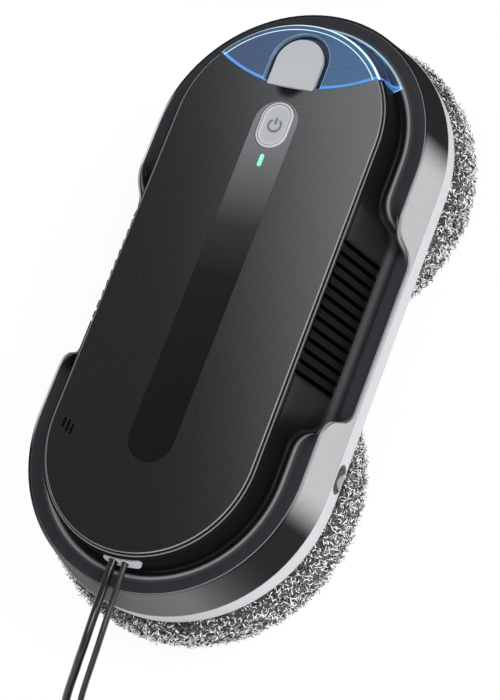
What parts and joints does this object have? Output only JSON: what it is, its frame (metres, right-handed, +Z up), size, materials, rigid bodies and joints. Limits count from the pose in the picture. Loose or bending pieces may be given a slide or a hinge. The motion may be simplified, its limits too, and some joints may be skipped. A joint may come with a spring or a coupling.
{
  "type": "window cleaning robot",
  "caption": "Window cleaning robot that holds on by suction: racetrack body with a flat lid, blue water tank, round spinning fibre mops, finger recesses, power lead and safety rope.",
  "frame": {"origin": "on the floor under the middle of the body, which rests on its mops", "axes": "+Y towards the water tank's end (front), -Y towards the cords (rear), +Z up from the glass or floor"},
  "size_m": [0.1518, 0.4741, 0.0723],
  "materials": {
    "black_plastic": "glossy black moulding",
    "charcoal_plastic": "satin charcoal with fine grain",
    "inlay": "satin, silver grey that fades to black",
    "metallic_wall": "satin metallic grey",
    "light_plastic": "satin light grey",
    "silver_button": "satin silver grey",
    "green_lens": "clear, mint green",
    "blue_clear": "clear blue",
    "grey_silicone": "satin light grey silicone",
    "mop_fibre": "grey, white and dark curly fibre",
    "hook_tape": "black hook tape",
    "dark_plastic": "matte dark grey",
    "gear_plastic": "natural acetal",
    "bronze": "sintered bronze",
    "steel": "bright steel",
    "motor_can": "plated can",
    "black_rubber": "soft black",
    "cell_wrap": "blue shrink wrap",
    "board": "green circuit board",
    "hose": "milky clear",
    "cord_black": "smooth black",
    "rope_black": "braided black"
  },
  "bodies": {
    "housing": {"upper_shell": "black_plastic", "top_cover": "charcoal_plastic", "inlay_strip": "inlay", "led_lens": "green_lens", "silver_band": "metallic_wall", "base_shell": "light_plastic", "base_screws": "steel", "water_tank": "blue_clear", "spray_nozzle_right": "dark_plastic", "spray_nozzle_left": "dark_plastic", "water_pump": "dark_plastic", "tank_hose": "hose", "spray_hose_right": "hose", "spray_hose_left": "hose", "hub_bearing_front": "bronze", "hub_bearing_rear": "bronze", "drive_motor_front": "motor_can", "drive_motor_rear": "motor_can", "suction_duct": "dark_plastic", "hub_seal_front": "black_rubber", "hub_seal_rear": "black_rubber", "fan_housing": "dark_plastic", "fan_motor": "motor_can", "battery_cell_front": "cell_wrap", "battery_cell_rear": "cell_wrap", "battery_tray_front": "dark_plastic", "battery_tray_rear": "dark_plastic", "main_board": "board", "button_board": "board", "speaker": "dark_plastic", "cord_bezel": "light_plastic", "cord_clamp": "dark_plastic", "power_lead": "cord_black", "power_lead_coil": "cord_black", "lead_plug": "cord_black", "safety_rope": "rope_black", "safety_rope_coil": "rope_black", "snap_hook": "steel"},
    "mop_front": {"cleaning_disc_front": "dark_plastic", "disc_gear_front": "gear_plastic", "hook_ring_front": "hook_tape", "mop_pad_front": "mop_fibre"},
    "mop_rear": {"cleaning_disc_rear": "dark_plastic", "disc_gear_rear": "gear_plastic", "hook_ring_rear": "hook_tape", "mop_pad_rear": "mop_fibre"},
    "drive_front": {"pinion_front": "steel"},
    "drive_rear": {"pinion_rear": "steel"},
    "impeller": {"fan_impeller": "gear_plastic"},
    "button": {"power_button": "silver_button"},
    "plug": {"filler_plug": "grey_silicone"},
    "gate": {"hook_gate": "steel"}
  },
  "joints": [
    {"name": "mop_front_spin", "type": "hinge", "parent": "housing", "child": "mop_front", "pos_m": [0, 0.0745, 0.035], "axis": [0, 0, 1], "continuous": true},
    {"name": "mop_rear_spin", "type": "hinge", "parent": "housing", "child": "mop_rear", "pos_m": [0, -0.0745, 0.035], "axis": [0, 0, 1], "continuous": true},
    {"name": "drive_front_spin", "type": "hinge", "parent": "housing", "child": "drive_front", "pos_m": [0.03321, 0.04563, 0.035], "axis": [0, 0, 1], "continuous": true},
    {"name": "drive_rear_spin", "type": "hinge", "parent": "housing", "child": "drive_rear", "pos_m": [-0.03321, -0.04563, 0.035], "axis": [0, 0, 1], "continuous": true},
    {"name": "impeller_spin", "type": "hinge", "parent": "housing", "child": "impeller", "pos_m": [0, 0, 0.035], "axis": [0, 0, 1], "continuous": true},
    {"name": "button_press", "type": "slide", "parent": "housing", "child": "button", "axis": [0, 0, -1], "range_m": [0, 0.0008], "stiffness_N_per_m": 1000},
    {"name": "plug_lift", "type": "hinge", "parent": "housing", "child": "plug", "pos_m": [0, 0.1166, 0.0711], "axis": [-1, 0, 0], "range_deg": [0, 100]},
    {"name": "gate_open", "type": "hinge", "parent": "housing", "child": "gate", "pos_m": [-0.0098, -0.2968, 0.0022], "axis": [0, 0, 1], "range_deg": [0, 30], "stiffness_Nm_per_rad": 0.05, "springref_deg": -17.19}
  ],
  "couplings": [
    {"joint": "drive_front_spin", "follows": "mop_front_spin", "ratio": -4.5},
    {"joint": "drive_rear_spin", "follows": "mop_rear_spin", "ratio": -4.5}
  ]
}
